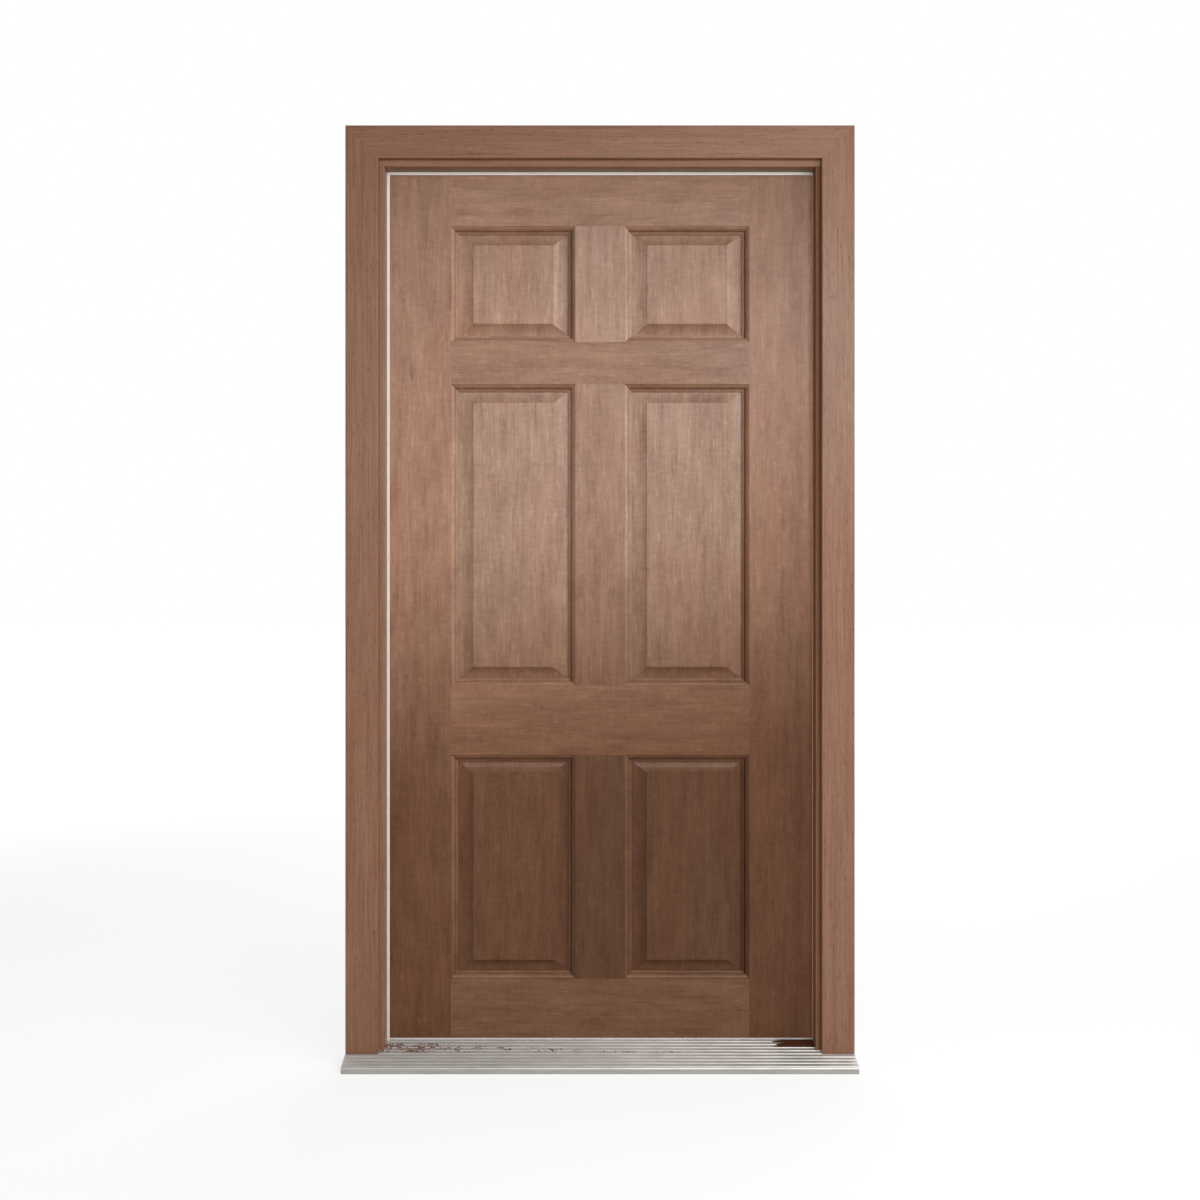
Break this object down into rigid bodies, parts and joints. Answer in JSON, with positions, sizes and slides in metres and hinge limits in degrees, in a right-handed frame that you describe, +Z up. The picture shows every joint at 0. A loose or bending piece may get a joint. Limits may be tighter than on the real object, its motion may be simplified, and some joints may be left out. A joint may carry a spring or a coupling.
{
  "type": "panelled front door",
  "caption": "Panelled timber front door with raised fields, hung on butt hinges in a rebated frame with mitred casing, weather seals and a ribbed aluminium sill.",
  "frame": {"origin": "underside of the sill, on the door's centre line, in the plane of the wall's outer face, where the casing meets the frame", "axes": "+X to the right seen from outside, +Y into the house, +Z up"},
  "size_m": [1.174, 0.1835, 2.1675],
  "materials": {
    "leaf_timber": "semi-matt stained hardwood with a mottled ribbon grain",
    "frame_timber": "semi-matt stained hardwood, straight grained",
    "dowel_timber": "plain hardwood, hidden in the joints",
    "sill_metal": "mill-finish extrusion with ribbed deck",
    "seal": "matt off-white weather seal",
    "hinge_steel": "satin stainless steel",
    "pin_steel": "lost-head pins touched in to match the casing"
  },
  "bodies": {
    "frame": {"hinge_jamb": "frame_timber", "lock_jamb": "frame_timber", "head_jamb": "frame_timber", "left_casing": "frame_timber", "right_casing": "frame_timber", "head_casing": "frame_timber", "sill": "sill_metal", "hinge_side_seal": "seal", "lock_side_seal": "seal", "head_seal": "seal", "threshold_seal": "seal", "top_hinge_frame_plate": "hinge_steel", "middle_hinge_frame_plate": "hinge_steel", "bottom_hinge_frame_plate": "hinge_steel", "top_hinge_pin": "hinge_steel", "middle_hinge_pin": "hinge_steel", "bottom_hinge_pin": "hinge_steel", "frame_hinge_screws": "hinge_steel", "corner_screws": "hinge_steel", "sill_screws": "hinge_steel", "casing_pins": "pin_steel"},
    "leaf": {"hinge_stile": "leaf_timber", "lock_stile": "leaf_timber", "top_rail": "leaf_timber", "frieze_rail": "leaf_timber", "lock_rail": "leaf_timber", "bottom_rail": "leaf_timber", "top_muntin": "leaf_timber", "middle_muntin": "leaf_timber", "bottom_muntin": "leaf_timber", "top_left_panel": "leaf_timber", "top_right_panel": "leaf_timber", "middle_left_panel": "leaf_timber", "middle_right_panel": "leaf_timber", "bottom_left_panel": "leaf_timber", "bottom_right_panel": "leaf_timber", "leaf_dowels": "dowel_timber", "top_hinge_leaf_plate": "hinge_steel", "middle_hinge_leaf_plate": "hinge_steel", "bottom_hinge_leaf_plate": "hinge_steel", "leaf_hinge_screws": "hinge_steel"}
  },
  "joints": [
    {"name": "door_swing", "type": "hinge", "parent": "frame", "child": "leaf", "pos_m": [0.5115, 0.1, 1.067], "axis": [0, 0, -1], "range_deg": [0, 175]}
  ]
}
